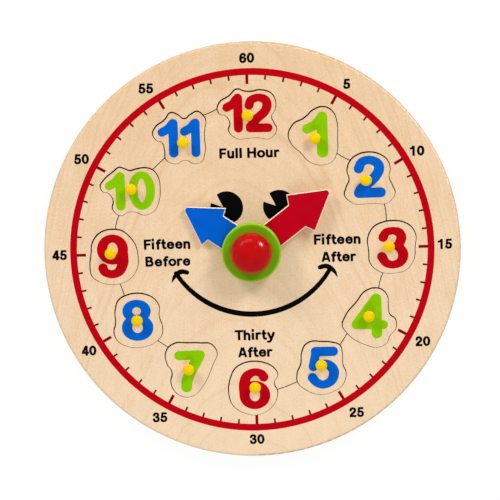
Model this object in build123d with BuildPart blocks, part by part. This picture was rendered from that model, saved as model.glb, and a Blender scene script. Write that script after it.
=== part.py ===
from build123d import *
import os
from math import acos, cos, pi, radians, sin, sqrt, tan

# A geared teaching clock: a round plywood board that lies on its back. Twelve number pieces lift out of
# recesses in the face, and two hands in the middle are geared together at twelve to one.
# The origin is in the middle of the back face, +Z points out of the dial and +Y points to twelve.

# Board
dial_diameter = 300.0
face_thickness = 5.0
cover_thickness = 3.0
edge_round = 2.0

# Gear train: 15 teeth on the minute arbor drive 45, and 12 beside them drive 48, so 12 turns become one
module = 1.0
pressure_angle = 25.0
minute_teeth = 15
idler_wheel_teeth = 45
idler_pinion_teeth = 12
hour_teeth = 48
addendum = 0.9
dedendum = 1.15
backlash = 0.2
gear_thickness = 2.4
gear_gap = 0.4

# Axles and bearings
running_gap = 0.08
arbor_radius = 2.5
tube_radius = 4.5
pin_radius = 1.5
bush_radius = 6.5
bush_flange_radius = 9.0
bush_flange_thickness = 1.2
pivot_depth = 1.5
pin_depth_in_face = 2.5

# Gear window in the board and the cover behind it
window_gap = 3.1
cover_lip = 8.0
cover_gap = 0.25
cover_corner_round = 0.6

# Screws in the lip of the cover
screw_radius = 1.4
screw_head_radius = 2.8
screw_length = 7.4
screw_hole_gap = 0.2
screw_slot_width = 0.7
screw_slot_depth = 0.7

# Hands
hand_thickness = 3.0
hand_gap = 0.2
spacer_thickness = 0.6
spacer_radius = 7.0
hand_boss_radius = 12.0
hand_tip_round = 2.6
hand_barb_round = 2.0
hand_edge_round = 0.6
minute_hand_length = 73.2
minute_neck = 41.4
minute_barb = 45.0
minute_barb_half_width = 16.7
minute_shaft_half_width = 10.0
hour_hand_length = 59.5
hour_neck = 30.6
hour_barb = 32.4
hour_barb_half_width = 16.2
hour_shaft_half_width = 10.5

# The time that the hands show
shown_hour = 10
shown_minute = 8.85

# Disc and ball over the hands
disc_radius = 21.3
disc_thickness = 6.0
disc_rim_round = 2.6
disc_foot_round = 0.8
ball_radius = 14.8
ball_seat_drop = 3.0
arbor_depth_in_ball = 12.0

# Number pieces: the saw line is shared by each piece and its recess, and sanding opens it to the gap.
# Each piece has slipped a little in its recess, towards a clock angle in degrees
piece_gap = 0.7
piece_slip = 0.4
piece_slip_angle = 160.0
saw_width = 0.65
lift_hole_radius = 2.0
lift_hole_depth = 3.0
knob_height = 8.0
knob_dome_rise = 2.0
knob_rim_round = 1.2
knob_head_radius = 4.25
knob_foot_radius = 2.6

# The pieces' centres lie on a ring, each a little outside or inside it. Each saw line is given about its
# piece's own centre, with the piece upright
number_ring_radius = 96.5
piece_outset = {
    1: -3.5, 2: 0.0, 3: 1.5, 4: -0.5, 5: 0.0, 6: 2.5,
    7: 0.5, 8: 0.5, 9: 4.5, 10: 1.0, 11: -4.0, 12: 1.5,
}
saw_line = {
    1: [(5.5, 21.8), (10.5, 21.0), (14.8, 17.2), (16.9, 11.0), (17.1, -1.0), (16.6, -10.5),
        (13.0, -17.4), (5.5, -20.0), (-3.0, -17.7), (-9.8, -10.6), (-15.8, -4.6), (-18.2, 2.0),
        (-15.0, 9.3), (-6.0, 14.5), (0.4, 19.9)],
    2: [(2.0, 20.8), (9.5, 19.2), (15.0, 15.0), (17.1, 9.0), (16.1, 2.5), (18.2, -3.0), (20.2, -9.3),
        (16.5, -14.9), (3.0, -16.3), (-11.5, -14.9), (-16.1, -9.5), (-14.8, -4.2), (-12.6, 1.0),
        (-13.9, 8.2), (-11.0, 15.6), (-5.0, 19.6)],
    3: [(4.0, 19.4), (11.0, 18.3), (17.0, 14.4), (19.8, 9.0), (19.3, 0.5), (18.3, -8.5),
        (13.5, -15.7), (3.0, -18.7), (-7.5, -16.8), (-13.2, -11.2), (-14.2, -2.0), (-14.7, 7.0),
        (-10.5, 15.0), (-3.5, 18.5)],
    4: [(4.0, 19.1), (9.5, 17.9), (13.2, 13.5), (13.9, 5.0), (14.4, 0.6), (19.0, -4.4), (19.3, -9.6),
        (14.6, -16.0), (11.5, -21.8), (4.4, -24.2), (-2.5, -22.4), (-16.2, -13.4), (-19.6, -8.0),
        (-17.0, -0.3), (-9.0, 9.4), (-3.0, 16.6)],
    5: [(-7.5, 16.9), (0.0, 16.7), (7.0, 16.1), (13.2, 13.7), (14.9, 7.5), (14.9, 0.5),
        (17.2, -7.0), (14.8, -15.0), (7.0, -20.4), (-3.1, -22.0), (-12.0, -18.5), (-18.2, -12.3),
        (-18.2, -6.0), (-15.5, 0.5), (-14.4, 9.5), (-11.7, 14.8)],
    6: [(-2.0, 18.9), (6.0, 17.9), (12.8, 14.4), (16.0, 9.6), (13.4, 1.8), (15.4, -2.3), (14.8, -9.0),
        (9.5, -16.4), (0.5, -20.4), (-10.0, -18.4), (-17.4, -12.6), (-19.9, -3.5), (-18.7, 6.0),
        (-14.5, 14.2), (-8.0, 17.9)],
    7: [(-9.5, 18.4), (0.0, 18.6), (9.0, 18.3), (17.0, 17.2), (20.9, 12.0), (17.6, 1.5),
        (9.5, -14.2), (4.0, -19.8), (-3.0, -21.1), (-9.0, -18.3), (-13.1, -9.5), (-12.0, -3.2),
        (-15.6, 4.0), (-16.5, 10.5), (-14.0, 15.7)],
    8: [(-1.0, 20.1), (6.0, 19.2), (12.0, 16.1), (15.6, 11.0), (15.6, 3.0), (17.6, -4.0),
        (17.3, -10.3), (11.5, -16.4), (2.0, -19.4), (-7.5, -18.8), (-15.5, -13.9), (-17.6, -8.0),
        (-16.2, -1.5), (-16.2, 8.0), (-13.3, 15.7), (-7.5, 18.9)],
    9: [(1.0, 18.4), (7.5, 17.3), (12.5, 13.4), (17.0, 7.0), (18.8, -2.0), (18.2, -9.5),
        (14.0, -16.6), (6.5, -20.9), (-1.0, -21.7), (-9.5, -19.6), (-15.2, -14.8), (-16.3, -8.0),
        (-15.2, 0.5), (-13.8, 9.5), (-9.5, 15.2), (-4.0, 17.9)],
    10: [(-9.0, 14.2), (-5.5, 13.1), (-1.8, 11.7), (3.5, 12.8), (9.5, 13.4), (15.0, 11.6), (19.0, 5.5),
         (19.8, -2.0), (18.4, -12.0), (14.0, -18.8), (7.5, -20.8), (1.0, -18.3), (-3.5, -18.3),
         (-9.5, -20.7), (-14.5, -16.8), (-14.8, -8.0), (-17.5, -4.5), (-21.9, -2.9), (-23.3, 1.2),
         (-20.5, 5.5), (-13.5, 11.3)],
    11: [(-8.0, 21.1), (-4.0, 19.3), (0.5, 16.4), (5.0, 19.3), (10.0, 21.4), (14.2, 18.4), (14.6, 4.0),
         (14.4, -9.5), (12.0, -14.9), (7.0, -16.0), (0.5, -13.4), (-7.0, -15.9), (-13.4, -12.8),
         (-14.4, -5.5), (-15.6, -0.8), (-20.5, 1.8), (-22.6, 6.5), (-20.4, 11.0), (-14.5, 15.3)],
    12: [(-7.6, 18.6), (-2.0, 17.0), (0.8, 16.7), (10.5, 17.5), (16.5, 15.4), (20.0, 9.5), (19.6, 3.5),
         (16.8, -2.0), (18.3, -5.9), (20.3, -10.5), (17.9, -15.6), (4.0, -16.6), (-10.5, -15.7),
         (-13.9, -12.0), (-13.4, -4.5), (-15.9, -0.5), (-20.6, 1.2), (-22.0, 5.0), (-20.6, 8.9),
         (-13.0, 14.2)],
}
knob_place = {
    1: (0.7, -0.1), 2: (-0.6, 1.2), 3: (0.3, 1.2), 4: (-0.4, -0.7), 5: (-0.6, 0.2), 6: (-0.5, 0.6),
    7: (0.4, -0.2), 8: (-0.2, 0.9), 9: (-0.7, 1.4), 10: (-0.9, -1.5), 11: (-0.7, -0.3), 12: (-0.3, -0.1),
}
# The saw runs on from each piece here to the one before it on the dial: where it leaves the first, how far
# its way bows to the left of a straight line, and where it reaches the second
saw_run = {
    12: ((-21.9, 4.6), 0.3, (14.2, 18.2)),
    11: ((-14.2, -11.4), 0.0, (14.8, 11.7)),
    10: ((-10.4, -20.6), -0.5, (3.2, 18.3)),
    9: ((4.9, -21.3), 0.3, (-9.2, 18.6)),
    8: ((14.0, -14.9), 0.0, (-14.3, 15.5)),
    6: ((15.4, -2.3), -0.4, (-18.2, -12.3)),
    5: ((13.3, 13.6), 0.0, (-16.1, -13.5)),
    4: ((7.2, 18.6), 0.4, (-4.2, -18.0)),
    3: ((-0.8, 19.1), -0.5, (12.0, -15.7)),
    2: ((-11.6, 15.1), 0.3, (16.3, -12.0)),
}

# Heights, from the back up
hours_on_dial = 12
minutes_on_dial = 60
gear_room = 2 * gear_thickness + 3 * gear_gap
base_thickness = cover_thickness + gear_room
face_bottom = base_thickness
face_top = face_bottom + face_thickness
lower_gear_bottom = cover_thickness + gear_gap
upper_gear_bottom = lower_gear_bottom + gear_thickness + gear_gap
pivot_bottom = cover_thickness - pivot_depth
hour_hand_bottom = face_top + bush_flange_thickness + hand_gap
hour_hand_top = hour_hand_bottom + hand_thickness
spacer_bottom = hour_hand_top + hand_gap
minute_hand_bottom = spacer_bottom + spacer_thickness
minute_hand_top = minute_hand_bottom + hand_thickness
disc_top = minute_hand_top + disc_thickness
ball_centre_height = disc_top + ball_seat_drop
arbor_top = disc_top + arbor_depth_in_ball

# Plan sizes
dial_radius = dial_diameter / 2
gear_distance = module * (minute_teeth + idler_wheel_teeth) / 2
window_radius = module * (hour_teeth / 2 + addendum) + window_gap
rebate_radius = window_radius + cover_lip
screw_ring = window_radius + cover_lip / 2
idler_x, idler_y = 0.0, -gear_distance
slip_x = piece_slip * sin(radians(piece_slip_angle))
slip_y = piece_slip * cos(radians(piece_slip_angle))
minute_angle = 360 * shown_minute / minutes_on_dial
hour_angle = 360 * (shown_hour + shown_minute / minutes_on_dial) / hours_on_dial


def keep(piece, name):
    """Label a finished piece and write it to its own file."""
    piece.part.label = name
    export_step(piece.part, f"parts/{name}.step")


def upright(height, clock_angle=0.0):
    """A level plane at a height, turned so that its Y axis points to a clock angle."""
    return Plane.XY.offset(height).rotated((0, 0, -clock_angle))


def piece_centre(number):
    """Where the middle of a number piece is on the dial."""
    angle = 2 * pi * number / hours_on_dial
    radius = number_ring_radius + piece_outset[number]
    return radius * sin(angle), radius * cos(angle)


def saw_face(number, outward):
    """The face inside a piece's saw line, grown outward or shrunk."""
    centre_x, centre_y = piece_centre(number)
    points = [Vector(centre_x + x, centre_y + y) for x, y in saw_line[number]]
    with BuildSketch() as shape:
        with BuildLine():
            for index, end in enumerate(points):
                start = points[index - 1]
                start_way = line_way(points, index - 1)
                end_way = line_way(points, index)
                middle = arc_joint(start, start_way, end, end_way)
                TangentArc(start, middle, tangent=start_way)
                TangentArc(end, middle, tangent=-end_way)
        make_face()
        offset(amount=outward)
    return shape.sketch


def line_way(points, index):
    """The way a closed line runs at one of its points: along the circle through it and its neighbours."""
    before = points[index] - points[index - 1]
    after = points[(index + 1) % len(points)] - points[index]
    return (before / before.length**2 + after / after.length**2).normalized()


def arc_joint(start, start_way, end, end_way):
    """Where two arcs meet that leave one point and reach the next along given ways, and run smoothly on."""
    chord = end - start
    ways = start_way + end_way
    along = chord.dot(ways)
    reach = chord.length**2 / (along + sqrt(along**2 + (4 - ways.length**2) * chord.length**2))
    return (start + start_way * reach + end - end_way * reach) / 2


# --- Gear teeth ---

def flank_angle(radius, base_radius, teeth):
    """Half the angle that a tooth spans at a radius, on its involute flank."""
    pitch_radius = module * teeth / 2
    thickness_at_pitch = pi * module / 2 - backlash / 2
    turn = acos(min(1.0, base_radius / radius))
    involute = tan(turn) - turn
    involute_at_pitch = tan(radians(pressure_angle)) - radians(pressure_angle)
    return thickness_at_pitch / (2 * pitch_radius) + involute_at_pitch - involute


def gear_face(teeth, first_tooth_angle):
    """A spur gear's outline about the origin, with one tooth at a given angle from +X."""
    pitch_radius = module * teeth / 2
    base_radius = pitch_radius * cos(radians(pressure_angle))
    tip_radius = pitch_radius + module * addendum
    root_radius = pitch_radius - module * dedendum
    start_radius = max(base_radius, root_radius)
    middle_radius = (start_radius + tip_radius) / 2
    flank = []
    for radius in (start_radius, middle_radius, tip_radius):
        angle = flank_angle(radius, base_radius, teeth)
        flank.append((radius * cos(angle), radius * sin(angle)))
    foot_angle = flank_angle(start_radius, base_radius, teeth)
    foot_radius = root_radius * cos(foot_angle)
    foot = (foot_radius * cos(foot_angle), foot_radius * sin(foot_angle))
    mirrored = [(x, -y) for x, y in flank]
    with BuildSketch() as tooth:
        with BuildLine():
            Line(foot, flank[0])
            ThreePointArc(*flank)
            ThreePointArc(flank[2], (tip_radius, 0), mirrored[2])
            ThreePointArc(*reversed(mirrored))
            Line(mirrored[0], (foot[0], -foot[1]))
            Line((foot[0], -foot[1]), foot)
        make_face()
    with BuildSketch() as gear:
        Circle(root_radius)
        with PolarLocations(0, teeth, start_angle=first_tooth_angle):
            add(tooth.sketch)
    return gear.sketch


# --- Board ---

def make_face_panel():
    """The plywood face, with the recesses sawn through it, the saw's runs between them and two bores."""
    with BuildPart() as face_panel:
        with BuildSketch(Plane.XY.offset(face_bottom)):
            Circle(dial_radius)
            Circle(bush_radius, mode=Mode.SUBTRACT)
        extrude(amount=face_thickness)
        rim = face_panel.edges().filter_by(GeomType.CIRCLE).sort_by(SortBy.RADIUS)[-2:].sort_by(Axis.Z)[-1]
        fillet(rim, radius=edge_round)
        with BuildSketch(Plane.XY.offset(face_bottom)):
            for number in saw_line:
                add(saw_face(number, piece_gap / 2))
        extrude(amount=face_thickness, mode=Mode.SUBTRACT)
        with BuildSketch(Plane.XY.offset(face_bottom)):
            for number in saw_run:
                add(saw_strip(number))
        extrude(amount=face_thickness, mode=Mode.SUBTRACT)
        with Locations(Plane((idler_x, idler_y, face_bottom))):
            Cylinder(pin_radius, pin_depth_in_face, align=(Align.CENTER, Align.CENTER, Align.MIN),
                     mode=Mode.SUBTRACT)
    keep(face_panel, "face_panel")


def saw_strip(number):
    """The strip that the saw takes out as it runs on from one recess to the next, bowed a little."""
    start_point, bow, end_point = saw_run[number]
    start = Vector(*piece_centre(number)) + Vector(*start_point)
    end = Vector(*piece_centre(number - 1)) + Vector(*end_point)
    across = (end - start).normalized().rotate(Axis.Z, 90)
    middle = (start + end) / 2 + across * bow
    with BuildSketch() as strip:
        with BuildLine() as run:
            if bow:
                ThreePointArc(start, middle, end)
            else:
                Line(start, end)
        trace(run.line, line_width=saw_width)
    return strip.sketch


def make_base_panel():
    """The board under the face, with the gear window, the rebate for its cover and pilot holes."""
    with BuildPart() as base_panel:
        with BuildSketch():
            Circle(dial_radius)
        extrude(amount=base_thickness)
        rim = base_panel.edges().filter_by(GeomType.CIRCLE).sort_by(Axis.Z)[0]
        fillet(rim, radius=edge_round)
        with BuildSketch():
            with Locations((idler_x / 2, idler_y / 2)):
                SlotCenterToCenter(gear_distance, 2 * window_radius, rotation=90)
        extrude(amount=base_thickness, mode=Mode.SUBTRACT)
        with BuildSketch():
            with Locations((idler_x / 2, idler_y / 2)):
                SlotCenterToCenter(gear_distance, 2 * rebate_radius, rotation=90)
        extrude(amount=cover_thickness, mode=Mode.SUBTRACT)
        with Locations(*[Plane((x, y, 0)) for x, y in screw_places()]):
            Cylinder(screw_radius, screw_length, align=(Align.CENTER, Align.CENTER, Align.MIN),
                     mode=Mode.SUBTRACT)
    keep(base_panel, "base_panel")


def screw_places():
    """The middles of the screws, on the cover's lip round both ends of the gear window."""
    return [
        (0, screw_ring), (screw_ring, 0), (-screw_ring, 0),
        (screw_ring, idler_y), (-screw_ring, idler_y), (0, idler_y - screw_ring),
    ]


def make_back_cover():
    """The plate that closes the gear window, flush with the back, with pivot holes for arbor and pin."""
    with BuildPart() as back_cover:
        with BuildSketch():
            with Locations((idler_x / 2, idler_y / 2)):
                SlotCenterToCenter(gear_distance, 2 * (rebate_radius - cover_gap), rotation=90)
        extrude(amount=cover_thickness)
        chamfer(back_cover.faces().sort_by(Axis.Z)[0].edges(), length=cover_corner_round)
        with Locations((0, 0, pivot_bottom)):
            Cylinder(arbor_radius + running_gap, pivot_depth,
                     align=(Align.CENTER, Align.CENTER, Align.MIN), mode=Mode.SUBTRACT)
        with Locations((idler_x, idler_y, pivot_bottom)):
            Cylinder(pin_radius, pivot_depth, align=(Align.CENTER, Align.CENTER, Align.MIN),
                     mode=Mode.SUBTRACT)
        with Locations(*[Plane((x, y, 0)) for x, y in screw_places()]):
            Cylinder(screw_radius + screw_hole_gap, cover_thickness,
                     align=(Align.CENTER, Align.CENTER, Align.MIN), mode=Mode.SUBTRACT)
            Cone(screw_head_radius, screw_radius, screw_head_radius - screw_radius,
                 align=(Align.CENTER, Align.CENTER, Align.MIN), mode=Mode.SUBTRACT)
    keep(back_cover, "back_cover")


def make_cover_screws():
    """Six countersunk screws with crossed slots, flush with the back."""
    slot_length = 2 * screw_radius + screw_slot_width
    with BuildPart() as cover_screws:
        with Locations(*[Plane((x, y, 0)) for x, y in screw_places()]):
            Cylinder(screw_radius, screw_length, align=(Align.CENTER, Align.CENTER, Align.MIN))
            Cone(screw_head_radius, screw_radius, screw_head_radius - screw_radius,
                 align=(Align.CENTER, Align.CENTER, Align.MIN))
            Box(slot_length, screw_slot_width, screw_slot_depth,
                align=(Align.CENTER, Align.CENTER, Align.MIN), mode=Mode.SUBTRACT)
            Box(screw_slot_width, slot_length, screw_slot_depth,
                align=(Align.CENTER, Align.CENTER, Align.MIN), mode=Mode.SUBTRACT)
    keep(cover_screws, "cover_screws")


def make_face_bush():
    """The flanged bush through the face, in which the hour tube turns."""
    with BuildPart() as face_bush:
        with BuildSketch(Plane.XZ):
            with BuildLine():
                Polyline(
                    (tube_radius + running_gap, face_bottom),
                    (bush_radius, face_bottom),
                    (bush_radius, face_top),
                    (bush_flange_radius, face_top),
                    (bush_flange_radius, face_top + bush_flange_thickness),
                    (tube_radius + running_gap, face_top + bush_flange_thickness),
                    close=True,
                )
            make_face()
        revolve(axis=Axis.Z)
    keep(face_bush, "face_bush")


# --- Gear train ---

def make_minute_arbor():
    """The steel arbor from its pivot in the cover up into the ball."""
    with BuildPart() as minute_arbor:
        with BuildSketch(Plane.XY.offset(pivot_bottom)):
            Circle(arbor_radius)
        extrude(amount=arbor_top - pivot_bottom)
    keep(minute_arbor, "minute_arbor")


def make_minute_pinion():
    """The pinion on the arbor, with a tooth pointing at the idler."""
    with BuildPart() as minute_pinion:
        with BuildSketch(Plane.XY.offset(lower_gear_bottom)):
            add(gear_face(minute_teeth, first_tooth_angle=-90))
            Circle(arbor_radius, mode=Mode.SUBTRACT)
        extrude(amount=gear_thickness)
    keep(minute_pinion, "minute_pinion")


def make_idler_gear():
    """Wheel and pinion in one piece. Half a tooth of turn leaves a gap for the tooth that points here."""
    with BuildPart() as idler_gear:
        with BuildSketch(Plane((idler_x, idler_y, lower_gear_bottom))):
            add(gear_face(idler_wheel_teeth, first_tooth_angle=90 + 180 / idler_wheel_teeth))
            Circle(pin_radius + running_gap, mode=Mode.SUBTRACT)
        extrude(amount=gear_thickness)
        with BuildSketch(Plane((idler_x, idler_y, lower_gear_bottom + gear_thickness))):
            add(gear_face(idler_pinion_teeth, first_tooth_angle=90 + 180 / idler_pinion_teeth))
            Circle(pin_radius + running_gap, mode=Mode.SUBTRACT)
        extrude(amount=gear_gap + gear_thickness)
    keep(idler_gear, "idler_gear")


def make_idler_pin():
    """The pin held in the cover and in the face, on which the idler turns."""
    with BuildPart() as idler_pin:
        with BuildSketch(Plane((idler_x, idler_y, pivot_bottom))):
            Circle(pin_radius)
        extrude(amount=face_bottom + pin_depth_in_face - pivot_bottom)
    keep(idler_pin, "idler_pin")


def make_hour_wheel():
    """The hour wheel and the tube that carries the hour hand up through the bush."""
    with BuildPart() as hour_wheel:
        with BuildSketch(Plane.XY.offset(upper_gear_bottom)):
            add(gear_face(hour_teeth, first_tooth_angle=-90))
        extrude(amount=gear_thickness)
        with BuildSketch(Plane.XY.offset(upper_gear_bottom)):
            Circle(tube_radius)
        extrude(amount=hour_hand_top - upper_gear_bottom)
        with BuildSketch(Plane.XY.offset(upper_gear_bottom)):
            Circle(arbor_radius + running_gap)
        extrude(amount=hour_hand_top - upper_gear_bottom, mode=Mode.SUBTRACT)
    keep(hour_wheel, "hour_wheel")


# --- Hands ---

def hand_outline(length, neck, barb, barb_half_width, shaft_half_width):
    """A broad arrow that points along +Y from a round boss, with its tip and its barbs rounded."""
    corners = [
        (shaft_half_width, 0), (shaft_half_width, neck), (barb_half_width, barb), (0, length),
        (-barb_half_width, barb), (-shaft_half_width, neck), (-shaft_half_width, 0),
    ]
    with BuildSketch() as outline:
        with BuildLine():
            Polyline(*corners, close=True)
        make_face()
        *barbs, tip = [corner for corner in outline.vertices().sort_by(Axis.Y) if corner.Y > neck]
        fillet(tip, radius=hand_tip_round)
        fillet(barbs, radius=hand_barb_round)
        Circle(hand_boss_radius)
    return outline.sketch


def make_hand(name, bottom, clock_angle, bore, outline):
    """One plywood hand with rounded points and softened edges."""
    with BuildPart() as hand:
        with BuildSketch(upright(bottom, clock_angle)):
            add(outline)
            Circle(bore, mode=Mode.SUBTRACT)
        extrude(amount=hand_thickness)
        chamfer(hand.faces().sort_by(Axis.Z)[-1].outer_wire().edges(), length=hand_edge_round)
    keep(hand, name)


def make_hand_spacer():
    """The ring on the arbor that keeps the minute hand off the hour hand."""
    with BuildPart() as hand_spacer:
        with BuildSketch(Plane.XY.offset(spacer_bottom)):
            Circle(spacer_radius)
            Circle(arbor_radius, mode=Mode.SUBTRACT)
        extrude(amount=spacer_thickness)
    keep(hand_spacer, "hand_spacer")


def make_collar_disc():
    """The turned disc that clamps the minute hand, with a rounded rim."""
    with BuildPart() as collar_disc:
        with BuildSketch(Plane.XY.offset(minute_hand_top)):
            Circle(disc_radius)
        extrude(amount=disc_thickness)
        rims = collar_disc.edges().filter_by(GeomType.CIRCLE).sort_by(Axis.Z)
        fillet(rims[-1], radius=disc_rim_round)
        fillet(rims[0], radius=disc_foot_round)
        with BuildSketch(Plane.XY.offset(minute_hand_top)):
            Circle(arbor_radius)
        extrude(amount=disc_thickness, mode=Mode.SUBTRACT)
    keep(collar_disc, "collar_disc")


def make_centre_knob():
    """The ball, cut flat where it sits on the disc and bored for the arbor."""
    with BuildPart() as centre_knob:
        with Locations((0, 0, ball_centre_height)):
            Sphere(ball_radius)
        split(bisect_by=Plane.XY.offset(disc_top), keep=Keep.TOP)
        with BuildSketch(Plane.XY.offset(disc_top)):
            Circle(arbor_radius)
        extrude(amount=arbor_depth_in_ball, mode=Mode.SUBTRACT)
    keep(centre_knob, "centre_knob")


# --- Number pieces ---

def knob_centre(number):
    """Where a piece's peg stands on the dial."""
    centre_x, centre_y = piece_centre(number)
    return centre_x + knob_place[number][0] + slip_x, centre_y + knob_place[number][1] + slip_y


def make_number(number):
    """One number piece, slipped in its recess as it lies, with the blind hole for its peg."""
    knob_x, knob_y = knob_centre(number)
    with BuildPart() as piece:
        with BuildSketch(Plane((slip_x, slip_y, face_bottom))):
            add(saw_face(number, -piece_gap / 2))
        extrude(amount=face_thickness)
        with Locations((knob_x, knob_y, face_top - lift_hole_depth)):
            Cylinder(lift_hole_radius, lift_hole_depth,
                     align=(Align.CENTER, Align.CENTER, Align.MIN), mode=Mode.SUBTRACT)
    keep(piece, f"number_{number}")


def make_knob(number):
    """One mushroom peg with a domed head, glued into its piece."""
    knob_x, knob_y = knob_centre(number)
    peg_top = face_top + knob_height
    with BuildPart() as peg:
        with BuildSketch(Plane.XZ) as profile:
            with BuildLine():
                Polyline(
                    (0, peg_top),
                    (0, face_top - lift_hole_depth),
                    (lift_hole_radius, face_top - lift_hole_depth),
                    (lift_hole_radius, face_top),
                    (knob_foot_radius, face_top),
                    (knob_head_radius, peg_top - knob_dome_rise),
                )
                TangentArc((0, peg_top), (knob_head_radius, peg_top - knob_dome_rise), tangent=(1, 0))
            make_face()
            fillet(profile.vertices().sort_by(Axis.X)[-1], radius=knob_rim_round)
        revolve(axis=Axis.Z)
    peg.part.position = (knob_x, knob_y, 0)
    keep(peg, f"knob_{number}")


os.makedirs("parts", exist_ok=True)
make_face_panel()
make_base_panel()
make_back_cover()
make_cover_screws()
make_face_bush()
make_minute_arbor()
make_minute_pinion()
make_idler_gear()
make_idler_pin()
make_hour_wheel()
make_hand("hour_hand", hour_hand_bottom, hour_angle, tube_radius,
          hand_outline(hour_hand_length, hour_neck, hour_barb, hour_barb_half_width, hour_shaft_half_width))
make_hand("minute_hand", minute_hand_bottom, minute_angle, arbor_radius,
          hand_outline(minute_hand_length, minute_neck, minute_barb, minute_barb_half_width,
                       minute_shaft_half_width))
make_hand_spacer()
make_collar_disc()
make_centre_knob()
for number in saw_line:
    make_number(number)
    make_knob(number)
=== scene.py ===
"""The looks of a geared teaching clock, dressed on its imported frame, for Blender 4.5.

The origin is in the middle of the back, +Z points out of the dial and +Y points to twelve. Sizes are in
millimetres until a mesh is made from them.
"""

from math import cos, pi, radians, sin

import bmesh
import bpy
import numpy as np
from mathutils import Matrix, Vector


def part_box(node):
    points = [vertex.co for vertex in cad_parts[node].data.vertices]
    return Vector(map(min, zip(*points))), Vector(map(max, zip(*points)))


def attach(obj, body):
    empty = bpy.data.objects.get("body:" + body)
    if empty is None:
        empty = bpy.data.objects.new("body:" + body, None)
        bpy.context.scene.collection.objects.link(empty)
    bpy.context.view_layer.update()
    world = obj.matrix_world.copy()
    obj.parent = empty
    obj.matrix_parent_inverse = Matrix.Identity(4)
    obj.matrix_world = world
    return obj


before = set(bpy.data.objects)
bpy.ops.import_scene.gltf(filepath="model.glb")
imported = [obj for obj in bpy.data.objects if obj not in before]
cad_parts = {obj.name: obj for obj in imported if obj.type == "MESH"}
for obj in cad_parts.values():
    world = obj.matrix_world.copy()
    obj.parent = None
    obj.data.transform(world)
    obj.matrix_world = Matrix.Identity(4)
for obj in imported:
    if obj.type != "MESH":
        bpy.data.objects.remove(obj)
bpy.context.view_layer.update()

MM = 0.001

# Heights and radius of the face
FACE_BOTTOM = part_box("face_panel")[0].z / MM
FACE_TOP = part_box("face_panel")[1].z / MM
FACE_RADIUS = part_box("face_panel")[1].y / MM

# How far the prints reach into the face and stand out of it, and how close points of a seam may lie
PRINT_SINK = 0.02
PRINT_RISE = 0.04
TICK_RISE = 0.025
SEAM_GAP = 0.001

# Plies of the face, the base, and the thin plywood of the hands and the cover. Sanding takes a share of the
# outer plies, and glue darkens a share of a ply on each side of a joint
FACE_PLIES = 5
BASE_PLIES = 7
THIN_PLIES = 3
PLY_SANDED = 0.1
GLUE_SHARE = 0.05

# Veneer: the size of its fibres, the arches that its growth rings draw on the dial, how much each part of
# its figure adds to its warmth, how much painted light takes from it towards six and adds towards twelve,
# how far from the middle that reaches, and how strongly the lines of the rings and the pores show
FIBRE_CELLS = (26, 1.1, 2.5)
ARCH_AXIS = -12.0
ARCH_FOCUS = 32.0
ARCH_SPACING = 9.0
ARCH_WAVE = 34.0
RING_TONE = 0.26
PATCH_TONE = 0.34
FIBRE_TONE = 0.22
FLECK_TONE = 0.36
LIGHT_FADE_TONE = 0.3
LIGHT_FADE_REACH = 130.0
RING_LINE_SHARE = 0.14
PORE_SHARE = 0.22

# Saw cuts: how far inside the rim a wall has to lie to be one of theirs, how far their walls are browned as
# painted shade, and how deep the painted shade on the joint face under the number pieces goes
RIM_WALL_DEPTH = 8.0
SAWN_SHADE_SHARE = 0.6
JOINT_SHADE_DEPTH = 0.05

# The range that most of a noise lies in
NOISE_RANGE = (0.3, 0.7)

# How squarely a surface faces up, where 1 is level: what it is under on a wall, where the painted light on
# steep places, the painted highlight on the disc's rim and the one on the hands' chamfers start and are
# full, and where the hands' paint starts and is full
WALL_FACING = 0.5
STEEP_LIGHT_RANGE = (0.6, 0.1)
DISC_RIM_HIGHLIGHT_RANGE = (0.98, 0.7)
HAND_CHAMFER_HIGHLIGHT_RANGE = (0.2, 0.6)
HAND_PAINT_RANGE = (0.86, 0.94)

# How far the hands' bare chamfer is paled by a painted highlight, and how far all of the disc's paint goes
# towards the colour of its rim's painted highlight
HAND_CHAMFER_HIGHLIGHT = 0.8
DISC_PALENESS = 0.3

# Printed minute ring, its ticks (length and width) and how far they reach under it, and the numbers round
# it, each set off its place on a circle
RING_INNER = 126.2
RING_OUTER = 131.1
MINUTES = 60
MINUTES_PER_HOUR_MARK = 5
LONG_TICK = (6.5, 2.1)
SHORT_TICK = (3.1, 1.35)
TICK_OVERLAP = 0.4
MINUTE_NUMBER_RADIUS = 139.5
MINUTE_NUMBER_SHIFT = {
    5: (1.6, -3.0), 10: (-0.6, -0.9), 15: (-0.7, 1.4), 20: (0.7, 1.1), 25: (2.9, 1.5), 30: (0.0, 2.1),
    35: (-0.2, 1.1), 40: (0.9, 0.2), 45: (0.9, 0.4), 50: (0.6, -0.4), 55: (-2.5, -2.2), 60: (0.5, -1.1),
}

# Small print: height of its digits, how far its ink spreads, and the step of the grid it is traced on
DIGIT_HEIGHT = 6.9
GLYPH_SPREAD = 0.2
GLYPH_TRACE_STEP = 0.12

# Printed words: text, and the middle of its baseline
WORDS = [
    ("Full Hour", (0.3, 66.9)),
    ("Fifteen", (61.9, 3.2)),
    ("After", (62.3, -9.4)),
    ("Thirty", (0.3, -64.7)),
    ("After", (0.3, -77.2)),
    ("Fifteen", (-60.6, 2.8)),
    ("Before", (-60.6, -9.6)),
]

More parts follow.
